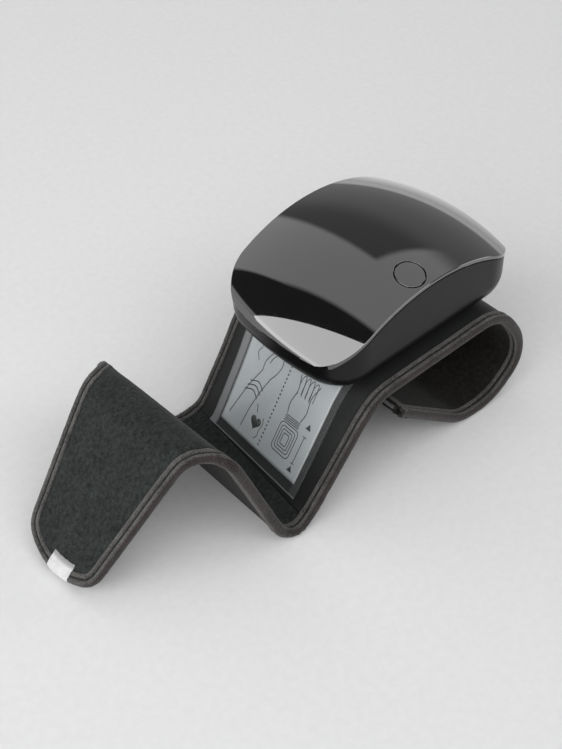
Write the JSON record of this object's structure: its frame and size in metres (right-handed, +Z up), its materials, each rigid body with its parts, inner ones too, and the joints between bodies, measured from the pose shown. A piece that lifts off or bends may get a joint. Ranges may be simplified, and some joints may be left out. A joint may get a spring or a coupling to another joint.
{
  "type": "wrist blood pressure monitor",
  "caption": "Pebble-shaped wrist blood pressure monitor with a start button, on a folded strap cuff with a curled loop and a tapered tail.",
  "frame": {"origin": "on the table, under the middle of the whole object", "axes": "+X along the strap from the tip of the tail to the loop, +Y across it away from the start button, +Z up"},
  "size_m": [0.1792, 0.07, 0.076],
  "materials": {
    "gloss_cover": "polished",
    "hull_plastic": "fine texture",
    "inner_plastic": "matte",
    "board": "solder mask",
    "steel": "plated",
    "brass": "turned",
    "rubber": "matte",
    "outer_fabric": "smooth satin weave",
    "loop_fabric": "fuzzy loop pile",
    "lining_fabric": "soft knit",
    "binding": "grosgrain tape, stitched",
    "hook_fabric": "hook tape",
    "white_cloth": "woven tape",
    "label_print": "printed film",
    "clear_film": "clear film over dark cloth"
  },
  "bodies": {
    "cuff_and_housing": {"top_cover": "gloss_cover", "lower_housing": "hull_plastic", "cover_seal": "rubber", "pump_diaphragm": "rubber", "button_switch": "inner_plastic", "display_module": "inner_plastic", "display_light_guide": "inner_plastic", "pump_head": "inner_plastic", "motor_end_bell": "inner_plastic", "pump_bracket": "inner_plastic", "exhaust_valve": "inner_plastic", "pressure_sensor": "inner_plastic", "air_manifold": "inner_plastic", "air_nozzle": "inner_plastic", "cuff_core": "inner_plastic", "buzzer": "inner_plastic", "main_pcb": "board", "pcb_screws": "steel", "case_screws": "steel", "cuff_screws": "steel", "battery_cell": "steel", "charging_socket": "steel", "pump_motor_can": "steel", "bladder": "rubber", "cuff_padding": "lining_fabric", "cuff_outer_fabric": "outer_fabric", "cuff_lining": "lining_fabric", "cuff_binding": "binding", "label_panel": "label_print", "label_film": "clear_film"},
    "start_button": {"start_button": "gloss_cover", "switch_plunger": "inner_plastic"},
    "pump_rotor": {"motor_rotor": "steel"},
    "release_plunger": {"valve_plunger": "brass"},
    "cuff_tail": {"tail_loop_fabric": "loop_fabric", "tail_padding": "lining_fabric", "tail_lining": "lining_fabric", "tail_binding": "binding", "tail_hook_patch": "hook_fabric", "pull_tag": "white_cloth"}
  },
  "joints": [
    {"name": "button_press", "type": "slide", "parent": "cuff_and_housing", "child": "start_button", "axis": [-0.061, 0, 0.9981], "range_m": [-0.0005, 0], "stiffness_N_per_m": 1500},
    {"name": "pump_spin", "type": "hinge", "parent": "cuff_and_housing", "child": "pump_rotor", "pos_m": [0.0171, -0.0095, 0.04991], "axis": [0.9981, 0, 0.061], "continuous": true},
    {"name": "valve_stroke", "type": "slide", "parent": "cuff_and_housing", "child": "release_plunger", "axis": [0.9981, 0, 0.061], "range_m": [0, 0.0008], "stiffness_N_per_m": 300},
    {"name": "tail_fold", "type": "hinge", "parent": "cuff_and_housing", "child": "cuff_tail", "pos_m": [-0.04888, 0, 0.0454], "axis": [0, 1, 0], "range_deg": [0, 60]}
  ]
}
